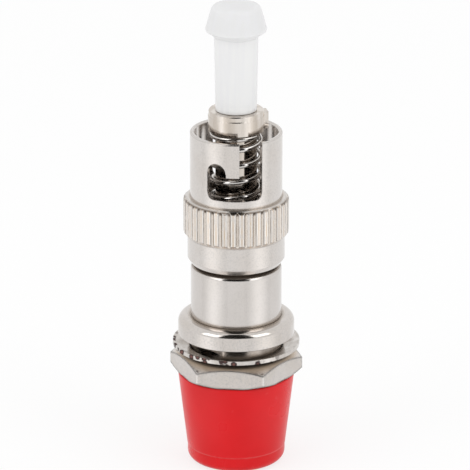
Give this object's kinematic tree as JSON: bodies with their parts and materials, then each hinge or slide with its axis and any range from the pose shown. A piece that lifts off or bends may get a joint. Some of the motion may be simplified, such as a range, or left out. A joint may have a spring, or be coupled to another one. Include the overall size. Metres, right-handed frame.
{
  "type": "bayonet to threaded fibre adapter",
  "caption": "Slim metal fibre adapter: sprung bayonet plug with a knurled nut at one end, flanged threaded socket with panel nut at the other, dust caps on both.",
  "frame": {"origin": "centre of the base of the socket's dust cap, on which the adapter stands", "axes": "+Z along the adapter's axis, from the threaded socket to the bayonet plug; -Y is the front of the picture"},
  "size_m": [0.0114, 0.011, 0.0413],
  "materials": {
    "nickel_brass": "bright nickel plate",
    "plated_steel": "plated, rust spots on the rim",
    "spring_steel": "drawn wire",
    "zirconia": "polished white ceramic",
    "fibre_glass": "clear",
    "red_plastic": "soft satin",
    "white_plastic": "translucent satin"
  },
  "bodies": {
    "adapter": {"socket_body": "nickel_brass", "rear_barrel": "nickel_brass", "plug_barrel": "nickel_brass", "ferrule": "zirconia", "fibre_stub": "fibre_glass", "ferrule_flange": "nickel_brass", "split_sleeve": "zirconia", "sleeve_housing": "nickel_brass"},
    "spring": {"coupling_spring": "spring_steel"},
    "bayonet_nut": {"bayonet_nut": "nickel_brass"},
    "washer": {"lock_washer": "plated_steel"},
    "panel_nut": {"panel_nut": "nickel_brass"},
    "ferrule_cap": {"ferrule_cap": "white_plastic"},
    "socket_cap": {"socket_cap": "red_plastic"}
  },
  "joints": [
    {"name": "bayonet_push", "type": "slide", "parent": "adapter", "child": "spring", "axis": [0, 0, 1], "range_m": [0, 0.0025], "stiffness_N_per_m": 1000, "deforming": ["coupling_spring"]},
    {"name": "bayonet_turn", "type": "hinge", "parent": "spring", "child": "bayonet_nut", "pos_m": [0, 0, 0.022], "axis": [0, 0, 1], "continuous": true},
    {"name": "washer_lift", "type": "slide", "parent": "adapter", "child": "washer", "axis": [0, 0, 1], "range_m": [0, 0.00062]},
    {"name": "panel_nut_turn", "type": "hinge", "parent": "washer", "child": "panel_nut", "pos_m": [0, 0, 0.009], "axis": [0, 0, 1], "range_deg": [0, 300]},
    {"name": "ferrule_cap_pull", "type": "slide", "parent": "adapter", "child": "ferrule_cap", "axis": [0, 0, 1], "range_m": [0, 0.014]},
    {"name": "socket_cap_pull", "type": "slide", "parent": "adapter", "child": "socket_cap", "axis": [0, 0, -1], "range_m": [0, 0.012]}
  ],
  "couplings": [
    {"joint": "panel_nut_turn", "follows": "washer_lift", "rad_per_m": 8377.6}
  ]
}
